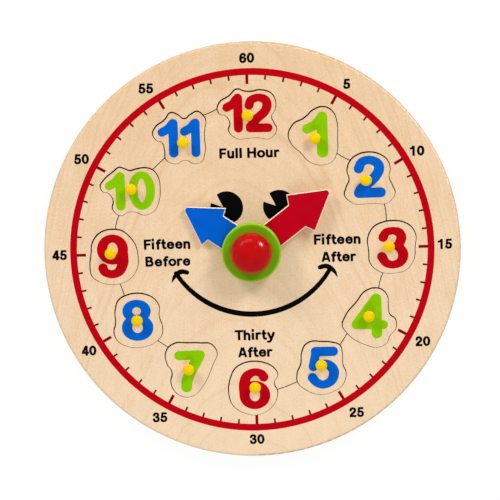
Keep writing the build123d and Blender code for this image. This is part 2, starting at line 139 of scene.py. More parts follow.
# Printed face: two eyes with a bite out of each, and a smile between two cheeks, whose points are x, y and
# the stroke's width there
EYE_CENTRES = ((-17.2, 31.6), (20.7, 31.6))
EYE_RADIUS = 11.8
EYE_BITE_APEX = (-2.6, 0.5)
EYE_BITE_ANGLES = (126.0, 162.0)
SMILE_CENTRE = (0.2, 19.1)
SMILE_RADIUS = 65.0
SMILE_ANGLES = (211.5, 328.5)
SMILE_WIDTHS = (3.1, 3.9)
CHEEKS = (
    [(-58.4, -21.5, 0.5), (-56.4, -17.5, 2.6), (-53.2, -14.5, 3.6), (-50.2, -13.8, 3.4),
     (-47.2, -14.5, 3.2)],
    [(61.0, -20.3, 0.5), (58.7, -16.1, 2.6), (55.0, -13.1, 3.6), (51.8, -12.4, 3.4),
     (48.6, -13.2, 3.2)],
)

# Where the middle of each numeral lies from the middle of its peg
NUMERAL_FROM_PEG = {
    1: (-0.7, 0.4), 2: (0.6, -0.9), 3: (-0.3, -0.9), 4: (0.4, 1.0), 5: (0.6, 0.1), 6: (0.5, -0.3),
    7: (-0.4, 0.5), 8: (0.2, -0.6), 9: (0.7, -1.1), 10: (0.9, 1.8), 11: (0.7, 0.6), 12: (0.3, 0.4),
}
NUMERAL_COLOURS = ("red", "green", "blue")

# Tracing of strokes: the step of the grid and of the outline, the clear grid round the widest stroke, and
# the fewest points of an outline
NUMERAL_TRACE_STEP = 0.25
OUTLINE_STEP = 0.4
GRID_MARGIN = 2.0
OUTLINE_POINTS_MIN = 12

# Points along drawn curves
OVAL_POINTS = 25
SMILE_POINTS = 21
EYE_POINTS = 90
CIRCLE_POINTS = 360

# Camera, in millimetres and degrees: above the dial, leaning towards about half past twelve, with the dial
# rolled a little in its view
VIEW_DISTANCE = 1610.0
VIEW_LEAN = 6.13
VIEW_LEAN_FROM_UP = 16.2
VIEW_ROLL = 1.68
IMAGE_PIXELS = 500
PIXELS_PER_MM = 1.39
DIAL_CENTRE_PIXEL = (251.4, 250.3)
SENSOR_WIDTH = 36.0

# Light on the face: the share of it that comes from all round, and the lamps. Each lamp has its share, the
# direction it stands in round the dial (from +X) and its height above it in degrees, and its size and
# distance in metres
AMBIENT_SHARE = 0.4
LAMPS = {
    "upper_right_lamp": (0.24, 50.0, 37.0, 0.5, 1.6),
    "lower_lamp": (0.18, -92.0, 42.0, 0.6, 1.0),
    "upper_left_lamp": (0.18, 130.0, 31.0, 0.5, 1.8),
}

# Lamps that only show as highlights: brightness where white is 1, direction and height in degrees, and
# width, depth and distance in metres
GLINTS = {
    "spot_glint": (95.0, 41.0, 6.0, 0.44, 0.36, 1.6),
    "broad_glint": (4.0, 112.0, 9.0, 1.8, 0.5, 1.6),
}

# Floor, in metres: it shows its own grey, mixed with a glow by a share
FLOOR_HALF_SIZE = 3.0
FLOOR_DROP = 0.0002
FLOOR_GREY = 0.75
FLOOR_GLOW_SHARE = 0.85
FLOOR_GLOW = 1.07


def ring_stroke(centre_x, centre_y, half_width, half_height, side_stroke, top_stroke):
    """A closed oval stroke whose width changes from its sides to its top and bottom."""
    stroke = []
    for turn in np.linspace(0, 2 * pi, OVAL_POINTS):
        width = side_stroke * cos(turn) ** 2 + top_stroke * sin(turn) ** 2
        stroke.append((centre_x + half_width * cos(turn), centre_y + half_height * sin(turn), width))
    return stroke


# The strokes of each numeral about its middle: x, y and the stroke's width there
NUMERALS = {
    1: [
        [(6.2, 14.4, 7.6), (6.05, -10.6, 8.2)],
        [(-4.8, 6.1, 6.8), (0.5, 8.5, 6.8), (4.5, 12.5, 6.8)],
    ],
    2: [
        [(-5.6, 9.0, 7.1), (-3.5, 13.2, 6.6), (1.7, 15.0, 6.0), (7.3, 13.0, 6.8), (9.1, 9.0, 7.3),
         (6.8, 3.8, 7.3), (2.0, -1.0, 7.3), (-4.0, -5.5, 7.3), (-5.6, -8.3, 7.3)],
        [(-5.8, -8.6, 7.2), (9.9, -8.5, 7.2)],
    ],
    3: [
        [(-3.7, 7.4, 6.8), (-1.5, 10.8, 6.0), (3.2, 11.9, 5.4), (7.8, 10.5, 6.6), (9.4, 7.0, 7.2),
         (8.0, 3.0, 6.8), (6.0, 1.0, 6.2)],
        [(6.0, 1.0, 6.2), (8.5, -1.0, 6.8), (10.5, -5.5, 7.4), (8.5, -10.5, 6.6), (3.0, -12.6, 5.6),
         (-2.0, -11.0, 6.2), (-4.8, -6.7, 7.0)],
    ],
    4: [
        [(4.9, 11.0, 7.4), (-9.2, -7.2, 7.4)],
        [(-9.2, -7.4, 6.6), (9.9, -7.9, 6.6)],
        [(5.1, 11.0, 7.6), (5.1, -14.0, 7.6)],
        [(1.2, 1.0, 8.0), (-3.5, -4.8, 8.0), (2.5, -4.8, 8.0)],
    ],
    5: [
        [(-4.6, 9.3, 6.9), (8.2, 9.2, 6.9)],
        [(-4.2, 9.2, 6.6), (-6.6, -1.7, 6.6)],
        [(-1.0, 0.3, 5.6), (4.0, -0.2, 6.6), (7.6, -3.5, 7.3), (8.3, -7.5, 7.3), (6.0, -12.5, 6.7),
         (0.3, -14.9, 6.0), (-4.5, -13.0, 6.4), (-7.2, -9.7, 7.0)],
    ],
    6: [
        ring_stroke(-1.05, -5.95, 7.45, 7.45, 7.5, 5.8),
        [(-8.5, -4.0, 7.6), (-8.4, 2.0, 8.0), (-6.5, 8.0, 7.0), (-0.8, 10.9, 5.5), (4.0, 9.5, 6.2),
         (5.7, 7.2, 7.0)],
    ],
    7: [
        [(-6.6, 9.2, 6.8), (8.6, 9.4, 6.8)],
        [(7.8, 8.0, 7.4), (4.0, 2.0, 8.0), (0.8, -4.0, 8.0), (-1.2, -9.0, 8.0), (-1.8, -13.7, 8.0)],
    ],
    8: [
        ring_stroke(-0.75, 6.9, 6.7, 5.6, 7.1, 5.4),
        ring_stroke(-0.4, -5.1, 7.6, 6.7, 7.6, 5.7),
    ],
    9: [
        ring_stroke(0.4, 3.6, 7.5, 8.0, 7.5, 5.8),
        [(7.9, 0.0, 7.6), (7.6, -6.0, 8.0), (5.0, -12.0, 7.0), (-0.5, -14.3, 6.0), (-5.5, -12.5, 6.4),
         (-6.9, -9.7, 7.0)],
    ],
    10: [
        [(-9.0, 7.2, 6.9), (-9.0, -13.8, 6.9)],
        [(-17.0, 0.8, 6.2), (-12.5, 3.5, 6.2), (-9.5, 7.0, 6.2)],
        ring_stroke(6.4, -3.1, 6.3, 11.3, 6.5, 5.2),
    ],
    11: [
        [(-7.8, 12.9, 6.8), (-7.8, -8.0, 6.8)],
        [(-15.9, 6.9, 6.2), (-11.5, 9.3, 6.2), (-8.5, 12.7, 6.2)],
        [(8.15, 13.0, 6.4), (8.15, -8.3, 6.4)],
        [(0.2, 7.1, 6.3), (4.3, 9.3, 6.3), (7.4, 12.6, 6.3)],
    ],
    12: [
        [(-7.2, 11.9, 6.6), (-7.2, -9.4, 6.6)],
        [(-15.2, 5.5, 6.2), (-11.0, 7.8, 6.2), (-8.5, 11.0, 6.2)],
        [(0.9, 6.7, 6.5), (2.3, 10.2, 6.1), (7.3, 12.0, 5.6), (12.3, 10.4, 6.4), (13.7, 6.3, 6.7),
         (11.9, 2.0, 6.6), (8.0, -1.5, 6.5), (4.0, -5.0, 6.5), (1.3, -8.8, 6.5)],
        [(1.2, -9.6, 6.3), (14.1, -9.75, 6.3)],
    ],
}

# Widths of the strokes of the small digits and letters: a letter's and a digit's stem, a bend, a bar, and
# where two strokes meet
STEM = 1.45
BODY = 1.4
BEND = 1.3
ARM = 1.2
THIN = 1.1

# Heights of the letters' stems, and the strokes that two letters share
FOOT = 0.2
SMALL_TOP = 5.2
CAP_TOP = 7.2
SHOULDER = [
    (1.0, 3.1, 1.0), (1.6, 4.2, ARM), (2.7, 4.65, BEND), (3.8, 4.2, BODY), (4.15, 3.0, STEM),
    (4.15, 1.6, STEM), (4.15, FOOT, STEM),
]
CROSSBAR = [(0.4, 4.6, ARM), (3.4, 4.6, ARM)]


def stem(x, top):
    """An upright stem on the baseline."""
    return [(x, FOOT, STEM), (x, top, STEM)]


# The strokes of the small digits and letters, from the left end of each one's baseline, and the width that
# each takes up in a line
GLYPHS = {
    "0": [ring_stroke(2.5, 3.45, 1.75, 2.85, STEM, ARM)],
    "1": [
        [(2.9, 0.0, BODY), (2.9, DIGIT_HEIGHT, BODY)],
        [(0.7, 5.1, THIN), (1.8, 5.35, THIN), (2.7, 6.5, THIN)],
    ],
    "2": [
        [(0.85, 4.6, BODY), (1.25, 5.85, BEND), (2.45, 6.3, ARM), (3.7, 5.8, BEND), (4.05, 4.8, BODY),
         (3.5, 3.6, BODY), (2.2, 2.45, BODY), (1.2, 1.35, BEND), (0.95, 0.7, ARM)],
        [(0.3, 0.6, ARM), (4.8, 0.6, ARM)],
    ],
    "3": [
        [(0.85, 4.85, BODY), (1.3, 5.95, BEND), (2.45, 6.3, ARM), (3.6, 5.9, BEND), (3.85, 5.0, BEND),
         (3.35, 4.05, ARM), (2.2, 3.7, THIN)],
        [(2.2, 3.6, THIN), (3.6, 3.3, BEND), (4.1, 2.1, BODY), (3.55, 1.0, BEND), (2.4, 0.6, ARM),
         (1.2, 0.95, BEND), (0.75, 2.1, BODY)],
    ],
    "4": [
        [(3.2, 6.6, ARM), (0.75, 2.2, ARM)],
        [(0.2, 1.95, ARM), (5.0, 1.95, ARM)],
        [(3.5, 0.0, BODY), (3.5, DIGIT_HEIGHT, BODY)],
    ],
    "5": [
        [(1.2, 6.3, ARM), (4.5, 6.3, ARM)],
        [(1.55, 6.7, ARM), (1.05, 3.1, ARM)],
        [(1.1, 3.35, THIN), (2.5, 3.95, ARM), (3.75, 3.4, BODY), (4.1, 2.2, BODY), (3.6, 1.05, BEND),
         (2.4, 0.6, ARM), (1.2, 0.95, BEND), (0.75, 1.95, BODY)],
    ],
    "6": [
        ring_stroke(2.5, 2.2, 1.65, 1.6, BODY, ARM),
        [(0.85, 2.2, BODY), (0.95, 4.1, BODY), (1.5, 5.7, BEND), (2.7, 6.3, ARM), (3.65, 5.9, BEND),
         (4.05, 5.1, BODY)],
    ],
    "A": [
        [(1.0, FOOT, ARM), (3.15, 7.0, STEM)],
        [(5.9, FOOT, ARM), (3.75, 7.0, STEM)],
        [(1.9, 2.1, ARM), (5.0, 2.1, ARM)],
    ],
    "B": [
        stem(1.0, CAP_TOP),
        [(1.0, 6.6, ARM), (2.4, 6.6, ARM), (4.0, 6.4, BEND), (4.6, 5.3, STEM), (4.0, 4.2, BEND),
         (2.4, 3.95, ARM), (1.0, 3.95, ARM)],
        [(1.0, 3.95, ARM), (2.8, 3.95, ARM), (4.5, 3.5, BEND), (5.1, 2.3, STEM), (4.5, 1.1, BEND),
         (2.8, 0.8, ARM), (1.0, 0.8, ARM)],
    ],
    "F": [
        stem(1.0, CAP_TOP),
        [(1.0, 6.6, ARM), (5.1, 6.6, ARM)],
        [(1.0, 3.7, ARM), (4.6, 3.7, ARM)],
    ],
    "H": [
        stem(1.0, CAP_TOP),
        stem(5.6, CAP_TOP),
        [(1.0, 3.9, ARM), (5.6, 3.9, ARM)],
    ],
    "T": [
        [(0.3, 6.6, ARM), (6.1, 6.6, ARM)],
        stem(3.2, 6.6),
    ],
    "e": [
        [(1.3, 2.85, 0.9), (4.8, 2.85, 0.9)],
        [(4.8, 2.75, BEND), (4.3, 4.1, BEND), (2.85, 4.75, ARM), (1.4, 4.1, BEND), (0.95, 2.75, STEM),
         (1.4, 1.35, BEND), (2.9, 0.7, ARM), (4.1, 1.05, BEND), (4.7, 1.75, BEND)],
    ],
    "f": [
        [(1.75, FOOT, STEM), (1.75, 2.6, STEM), (1.75, 5.0, STEM), (2.05, 6.2, BEND), (2.8, 6.65, ARM),
         (3.6, 6.6, ARM)],
        CROSSBAR,
    ],
    "h": [stem(0.95, CAP_TOP), SHOULDER],
    "i": [
        stem(0.95, 5.0),
        [(0.95, 6.5, STEM), (0.95, 7.3, STEM)],
    ],
    "l": [stem(0.95, CAP_TOP)],
    "n": [stem(0.95, SMALL_TOP), SHOULDER],
    "o": [ring_stroke(2.95, 2.72, 2.05, 2.0, STEM, ARM)],
    "r": [
        stem(0.95, SMALL_TOP),
        [(1.0, 2.9, 1.0), (1.4, 4.1, ARM), (2.3, 4.65, BEND), (3.4, 4.6, BEND)],
    ],
    "t": [
        [(1.75, 6.7, STEM), (1.75, 4.4, STEM), (1.75, 2.2, STEM), (2.05, 1.1, BEND), (2.8, 0.7, ARM),
         (3.5, 0.8, ARM)],
        CROSSBAR,
    ],
    "u": [
        [(0.95, SMALL_TOP, STEM), (0.95, 3.7, STEM), (0.95, 2.3, STEM), (1.3, 1.15, BODY),
         (2.4, 0.75, BEND), (3.5, 1.2, ARM), (4.1, 2.3, 1.0)],
        stem(4.15, SMALL_TOP),
    ],
    "y": [
        [(0.8, 5.1, STEM), (2.8, 0.5, BEND)],
        [(5.0, 5.1, STEM), (3.9, 2.4, STEM), (2.8, -0.3, STEM), (2.1, -1.3, BEND), (1.2, -1.6, ARM),
         (0.5, -1.5, ARM)],
    ],
}
ADVANCES = {
    **dict.fromkeys("0123456789", 5.5),
    "A": 7.0, "B": 6.7, "F": 5.7, "H": 7.1, "T": 6.4, "e": 6.0, "f": 3.9, "h": 5.9, "i": 2.8, "l": 2.8,
    "n": 5.9, "o": 6.2, "r": 4.2, "t": 4.1, "u": 5.9, "y": 5.8, " ": 2.8,
}


def srgb(red, green, blue):
    """A display colour from 0 to 255, as the linear colour that a shader takes."""
    shares = [value / 255 for value in (red, green, blue)]
    linear = [share / 12.92 if share <= 0.04045 else ((share + 0.055) / 1.055) ** 2.4 for share in shares]
    return (*linear, 1.0)


# Colours
WOOD_PALE = srgb(250, 222, 188)
WOOD_WARM = srgb(234, 196, 152)
WOOD_LINE = srgb(214, 172, 126)
WOOD_PORE = srgb(188, 140, 96)
PLY_ACROSS = srgb(218, 176, 132)
PLY_GLUE = srgb(176, 132, 92)
# Painted shade on the walls of the saw cuts
SAWN_WALL_SHADE = srgb(120, 80, 50)
# Painted shade on the joint face under the number pieces, seen through the gaps
JOINT_FACE_SHADE = srgb(52, 34, 22)
INK_RED = srgb(194, 2, 20)
INK_BLUE = srgb(2, 101, 212)
INK_GREEN = srgb(140, 206, 0)
INK_BLACK = srgb(4, 3, 3)
INK_LONG_TICK = srgb(138, 0, 8)
INK_SHORT_TICK = srgb(104, 2, 8)
# Bare wood of the hands' chamfer, paled by a painted highlight
BARE_CHAMFER_HIGHLIGHT = srgb(255, 243, 222)
PAINT_RED = srgb(194, 0, 26)
PAINT_BLUE = srgb(0, 97, 212)
PAINT_GREEN = srgb(84, 137, 0)
# Painted highlight on the disc's rim, also blended thinly all over as a paler tone
PAINT_GREEN_PALE_AND_HIGHLIGHT = srgb(160, 216, 24)
PAINT_BALL = srgb(196, 0, 4)
# Painted reflection on the ball's steep sides
PAINT_BALL_REFLECTION = srgb(214, 6, 10)
PAINT_YELLOW = srgb(254, 215, 2)
# Painted shade on the pegs' steep sides
PAINT_YELLOW_SHADE = srgb(246, 190, 0)
PLASTIC = srgb(236, 234, 222)
PLASTIC_FLOW = srgb(206, 200, 180)
STEEL = srgb(196, 198, 200)
ZINC = srgb(186, 190, 196)
BRASS = srgb(214, 176, 96)
METAL_STAIN = srgb(120, 112, 100)
BLACK = srgb(0, 0, 0)
WHITE = srgb(255, 255, 255)


class Shade:
    """A node material in the making. Each call adds a node and gives the socket to go on from."""

    def __init__(self, name):
        self.material = bpy.data.materials.new(name)
        self.material.use_nodes = True
        self.tree = self.material.node_tree
        self.shader = self.tree.nodes["Principled BSDF"]

    def put(self, socket, value):
        """Link a socket to a node's output, or set it to a plain value."""
        if isinstance(value, bpy.types.NodeSocket):
            self.tree.links.new(value, socket)
        else:
            socket.default_value = value

    def node(self, kind, output, inputs, **settings):
        """One of the outputs of a new node."""
        made = self.tree.nodes.new("ShaderNode" + kind)
        for name, value in settings.items():
            setattr(made, name, value)
        for key, value in inputs.items():
            self.put(made.inputs[key], value)
        return made.outputs[output]

    def cells(self, length, width, depth):
        """Object coordinates counted in cells of these millimetres, the length along the grain."""
        place = self.node("TexCoord", "Object", {})
        size = (width * MM, length * MM, depth * MM)
        return self.node("Mapping", "Vector", {"Vector": place, "Scale": size}, vector_type="TEXTURE")

    def millimetres(self):
        """Object coordinates in millimetres."""
        return self.cells(1.0, 1.0, 1.0)

    def height(self):
        """Height above the back, in metres."""
        return self.part(self.node("TexCoord", "Object", {}), "Z")

    def noise(self, cells, detail=2.0, distortion=0.0):
        """Noise with about one blot to a cell."""
        inputs = {"Vector": cells, "Scale": 1.0, "Detail": detail, "Distortion": distortion}
        return self.node("TexNoise", 0, inputs)

    def noise_along(self, value, detail=2.0):
        """Noise that changes with one value only."""
        return self.node("TexNoise", 0, {"W": value, "Scale": 1.0, "Detail": detail}, noise_dimensions="1D")

    def spread(self, value, low, high, new_low=0.0, new_high=1.0):
        """The part of a value's range from low to high, stretched over a new range."""
        inputs = {0: value, 1: low, 2: high, 3: new_low, 4: new_high}
        return self.node("MapRange", 0, inputs)

    def vary(self, noise, low, high):
        """A noise stretched from its usual range over a new one."""
        return self.spread(noise, *NOISE_RANGE, low, high)

    def calculate(self, operation, first, second=0.0):
        """The result of a Math node."""
        return self.node("Math", 0, {0: first, 1: second}, operation=operation)

    def blend(self, share, first, second):
        """A colour that goes from the first to the second as the share goes from 0 to 1."""
        return self.node("Mix", 2, {0: share, 6: first, 7: second}, data_type="RGBA")

    def part(self, vector, axis):
        """One coordinate of a vector."""
        return self.node("SeparateXYZ", axis, {0: vector})

    def facing_up(self):
        """How squarely the surface faces out of the dial, where 1 is level with it."""
        return self.part(self.node("TexCoord", "Normal", {}), "Z")

    def bump(self, height, distance):
        """A normal that follows a height from 0 to 1, which stands for so many millimetres."""
        return self.node("Bump", 0, {"Height": height, "Strength": 1.0, "Distance": distance * MM})

    def finish(self, **values):
        """The material, with its shader's sockets set. An underscore stands for a space."""
        for name, value in values.items():
            self.put(self.shader.inputs[name.replace("_", " ")], value)
        return self.material


def growth_rings(shade):
    """The arched figure of a flat-cut veneer, from 0 to 1. The arches open towards six."""
    place = shade.millimetres()
    aside = shade.calculate("SUBTRACT", shade.part(place, "X"), ARCH_AXIS)
    arch = shade.calculate("MULTIPLY", shade.calculate("MULTIPLY", aside, aside), 0.5 / ARCH_FOCUS)
    arch = shade.calculate("ADD", arch, shade.part(place, "Y"))
    sway = shade.noise(shade.cells(80, 42, 60), detail=2.0)
    arch = shade.calculate("ADD", arch, shade.calculate("MULTIPLY", sway, ARCH_WAVE))
    return shade.noise_along(shade.calculate("DIVIDE", arch, ARCH_SPACING), detail=2.0)


def veneer(shade):
    """Colour, fibres and relief of a face veneer: rings, patches, pores and painted light, paler at six."""
    rings = growth_rings(shade)
    upwards = shade.part(shade.millimetres(), "Y")
    fibres = shade.noise(shade.cells(*FIBRE_CELLS), detail=3.0)
    fleck = shade.noise(shade.cells(1.5, 0.7, 0.7), detail=2.0)
    patches = shade.noise(shade.cells(22, 11, 12), detail=3.0)
    pores = shade.spread(shade.noise(shade.cells(4.0, 0.4, 0.5), detail=1.0), 0.62, 0.78)
    tone = shade.spread(rings, 0.25, 0.75, 0.0, RING_TONE)
    tone = shade.calculate("ADD", tone, shade.vary(patches, 0.0, PATCH_TONE))
    tone = shade.calculate("ADD", tone, shade.vary(fibres, 0.0, FIBRE_TONE))
    tone = shade.calculate("ADD", tone, shade.vary(fleck, -FLECK_TONE, FLECK_TONE))
    # Painted light: the wood is warmer towards twelve and paler towards six
    light_fade = shade.spread(upwards, -LIGHT_FADE_REACH, LIGHT_FADE_REACH, -LIGHT_FADE_TONE, LIGHT_FADE_TONE)
    tone = shade.calculate("ADD", tone, light_fade)
    colour = shade.blend(tone, WOOD_PALE, WOOD_WARM)
    colour = shade.blend(shade.spread(rings, 0.58, 0.75, 0.0, RING_LINE_SHARE), colour, WOOD_LINE)
    colour = shade.blend(shade.calculate("MULTIPLY", pores, PORE_SHARE), colour, WOOD_PORE)
    relief = shade.calculate("SUBTRACT", shade.calculate("MULTIPLY", fibres, 0.5), pores)
    return colour, fibres, relief


def plywood_layers(shade, bottom, top, plies):
    """The colour, roughness and relief of plywood, with its plies between two heights."""
    colour, fibres, relief = veneer(shade)
    layer = shade.spread(shade.height(), bottom * MM, top * MM, PLY_SANDED, plies - PLY_SANDED)
    across = shade.calculate("FLOORED_MODULO", shade.calculate("FLOOR", layer), 2.0)
    glue = shade.calculate("LESS_THAN", shade.calculate("PINGPONG", layer, 0.5), GLUE_SHARE)
    speckle = shade.noise(shade.cells(0.5, 0.5, 0.5), detail=2.0)
    end_grain = shade.blend(shade.spread(speckle, 0.35, 0.65), PLY_ACROSS, WOOD_WARM)
    colour = shade.blend(glue, shade.blend(across, colour, end_grain), PLY_GLUE)
    roughness = shade.vary(fibres, 0.4, 0.5)
    roughness = shade.calculate("ADD", roughness, shade.calculate("MULTIPLY", across, 0.2))
    relief = shade.calculate("ADD", relief, shade.calculate("MULTIPLY", speckle, across))
    return colour, roughness, relief


def sawn_share(shade):
    """Where a wall lies inside the board, in a saw cut, which gets painted shade.

    It goes by the distance from the middle of the back, which near the rim is the radius to within 1 mm.
    """
    away = shade.node("VectorMath", "Value", {0: shade.millimetres()}, operation="LENGTH")
    inside = shade.calculate("LESS_THAN", away, FACE_RADIUS - RIM_WALL_DEPTH)
    upright = shade.calculate("LESS_THAN", shade.facing_up(), WALL_FACING)
    return shade.calculate("MULTIPLY", inside, upright)


def face_plywood(name):
    """The lacquered face and its number pieces. The walls of the saw cuts are browned as painted shade."""
    shade = Shade(name)
    colour, roughness, relief = plywood_layers(shade, FACE_BOTTOM, FACE_TOP, FACE_PLIES)
    # The walls of the saw cuts get painted shade
    colour = shade.blend(shade.calculate("MULTIPLY", sawn_share(shade), SAWN_SHADE_SHARE), colour, SAWN_WALL_SHADE)
    return shade.finish(Base_Color=colour, Roughness=roughness, Normal=shade.bump(relief, 0.03),
                        Specular_IOR_Level=0.12)


def base_plywood(name, bottom, top, plies):
    """Bare plywood behind the face, whose joint face under the number pieces gets dark painted shade."""
    shade = Shade(name)
    colour, roughness, relief = plywood_layers(shade, bottom, top, plies)
    # The joint face under the number pieces gets painted shade
    joint = shade.calculate("GREATER_THAN", shade.height(), (FACE_BOTTOM - JOINT_SHADE_DEPTH) * MM)
    colour = shade.blend(joint, colour, JOINT_FACE_SHADE)
    return shade.finish(Base_Color=colour, Roughness=roughness, Normal=shade.bump(relief, 0.03),
                        Specular_IOR_Level=0.2)


def painted_hand(name, paint, node):
    """Plywood painted on top, with bare sides and a bare chamfer paled by a painted highlight."""
    shade = Shade(name)
    low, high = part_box(node)
    wood, wood_roughness, wood_relief = plywood_layers(shade, low.z / MM, high.z / MM, THIN_PLIES)
    facing = shade.facing_up()
    # The bare chamfer is paled by a painted highlight
    wood = shade.blend(shade.spread(facing, *HAND_CHAMFER_HIGHLIGHT_RANGE, 0.0, HAND_CHAMFER_HIGHLIGHT), wood, BARE_CHAMFER_HIGHLIGHT)
    covered = shade.spread(facing, *HAND_PAINT_RANGE)
    mottle = shade.noise(shade.cells(9, 7, 7), detail=3.0)
    coat = shade.blend(shade.vary(mottle, 0.0, 0.1), paint, BLACK)
    peel = shade.noise(shade.cells(1.1, 1.1, 1.1), detail=2.0)
    relief = shade.calculate("ADD", shade.calculate("MULTIPLY", wood_relief, 0.35), peel)
    sheen = shade.vary(mottle, 0.34, 0.44)
    roughness = shade.node("Mix", 0, {0: covered, 2: wood_roughness, 3: sheen})
    return shade.finish(Base_Color=shade.blend(covered, wood, coat), Roughness=roughness,
                        Normal=shade.bump(relief, 0.015), Specular_IOR_Level=0.05)


def ink(name, colour):
    """Screen-printed ink, a little darker where it lies thick, over the relief of the grain."""
    shade = Shade(name)
    mottle = shade.noise(shade.cells(3.0, 2.0, 2.0), detail=3.0)
    body = shade.blend(shade.spread(mottle, 0.4, 0.75, 0.0, 0.1), colour, BLACK)
    fibres = shade.noise(shade.cells(*FIBRE_CELLS), detail=3.0)
    roughness = shade.vary(mottle, 0.45, 0.58)
    return shade.finish(Base_Color=body, Roughness=roughness, Normal=shade.bump(fibres, 0.02),
                        Specular_IOR_Level=0.03)


def finish_gloss(shade, body, gloss, specular):
    """The coat over a paint's colour: faint blotches, orange peel and turning lines."""
    mottle = shade.noise(shade.cells(6, 6, 6), detail=2.0)
    body = shade.blend(shade.vary(mottle, 0.0, 0.07), body, BLACK)
    peel = shade.noise(shade.cells(1.6, 1.6, 1.6), detail=1.0)
    lines = shade.noise(shade.cells(40, 40, 0.7), detail=1.0)
    relief = shade.calculate("ADD", peel, shade.calculate("MULTIPLY", lines, 0.4))
    roughness = shade.vary(mottle, gloss, gloss + 0.06)
    return shade.finish(Base_Color=body, Roughness=roughness, Normal=shade.bump(relief, 0.008),
                        Specular_IOR_Level=specular)


def gloss_paint(name, colour, steep_painted_light, gloss, specular):
    """Sprayed paint on turned wood, whose steep places get a second colour as painted light."""
    shade = Shade(name)
    # Painted light on steep places
    steep = shade.spread(shade.facing_up(), *STEEP_LIGHT_RANGE)
    return finish_gloss(shade, shade.blend(steep, colour, steep_painted_light), gloss, specular)


def disc_paint(name):
    """The green disc, a little paler all over than its paint, with a painted highlight on its rounded rim.
    """
    shade = Shade(name)
    # Painted highlight on the rounded rim
    rim = shade.spread(shade.facing_up(), *DISC_RIM_HIGHLIGHT_RANGE)
    pale = shade.calculate("MAXIMUM", rim, DISC_PALENESS)
    return finish_gloss(shade, shade.blend(pale, PAINT_GREEN, PAINT_GREEN_PALE_AND_HIGHLIGHT), 0.3, 0.08)


def moulded_plastic(name, colour):
    """Natural plastic with flow marks and a fine spark-eroded grain."""
    shade = Shade(name)
    flow = shade.noise(shade.cells(12, 12, 12), detail=3.0, distortion=1.5)
    body = shade.blend(shade.vary(flow, 0.0, 0.2), colour, PLASTIC_FLOW)
    grain = shade.noise(shade.cells(0.25, 0.25, 0.25), detail=1.0)
    roughness = shade.vary(flow, 0.42, 0.55)
    return shade.finish(Base_Color=body, Roughness=roughness, Normal=shade.bump(grain, 0.01))


def turned_metal(name, colour, rough_low, rough_high):
    """Metal with the fine marks of a lathe round Z, and faint stains."""
    shade = Shade(name)
    stains = shade.noise(shade.cells(5, 5, 5), detail=3.0)
    marks = shade.noise(shade.cells(30, 30, 0.12), detail=2.0)
    body = shade.blend(shade.spread(stains, 0.4, 0.75, 0.0, 0.35), colour, METAL_STAIN)
    roughness = shade.vary(marks, rough_low, rough_high)
    return shade.finish(Base_Color=body, Roughness=roughness, Normal=shade.bump(marks, 0.006),
                        Metallic=1.0)


def dress_nodes():
    """Give every node of the frame its finish."""
    cover_low, cover_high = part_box("back_cover")
    face_wood = face_plywood("birch_face")
    plastic = moulded_plastic("natural_plastic", PLASTIC)
    steel = turned_metal("drawn_steel", STEEL, 0.2, 0.34)
    # The pegs get painted shade on their steep sides
    peg_paint = gloss_paint("yellow_paint", PAINT_YELLOW, PAINT_YELLOW_SHADE, 0.25, 0.08)
    finishes = {
        "face_panel": face_wood,
        "base_panel": base_plywood("birch_base", 0.0, FACE_BOTTOM, BASE_PLIES),
        "back_cover": base_plywood("birch_cover", cover_low.z / MM, cover_high.z / MM, THIN_PLIES),
        "cover_screws": turned_metal("zinc_plate", ZINC, 0.25, 0.42),
        "face_bush": turned_metal("turned_brass", BRASS, 0.18, 0.32),
        "minute_arbor": steel,
        "idler_pin": steel,
        "minute_pinion": plastic,
        "idler_gear": plastic,
        "hour_wheel": plastic,
        "hand_spacer": plastic,
        "minute_hand": painted_hand("red_hand_paint", PAINT_RED, "minute_hand"),
        "hour_hand": painted_hand("blue_hand_paint", PAINT_BLUE, "hour_hand"),
        "collar_disc": disc_paint("green_paint"),
        # The ball gets a painted reflection on its steep sides
        "centre_knob": gloss_paint("red_gloss_paint", PAINT_BALL, PAINT_BALL_REFLECTION, 0.14, 0.09),
    }
    for number in NUMERALS:
        finishes[f"number_{number}"] = face_wood
        finishes[f"knob_{number}"] = peg_paint
    for name, finish in finishes.items():
        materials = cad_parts[name].data.materials
        materials.clear()
        materials.append(finish)


def smooth_stroke(points, steps=6):
    """A smooth line through the points of a stroke, widths included."""
    knots = np.array(points, float)
    closed = np.allclose(knots[0], knots[-1])
    before = knots[-2] if closed else 2 * knots[0] - knots[1]
    after = knots[1] if closed else 2 * knots[-1] - knots[-2]
    knots = np.vstack([before, knots, after])
    line = []
    for p0, p1, p2, p3 in zip(knots, knots[1:], knots[2:], knots[3:]):
        for t in np.arange(steps) / steps:
            line.append(p1 + t * (p2 - p0) / 2 + t**2 * (p0 - 2.5 * p1 + 2 * p2 - p3 / 2)
                        + t**3 * (1.5 * (p1 - p2) + (p3 - p0) / 2))
    line.append(knots[-2])
    return np.array(line)


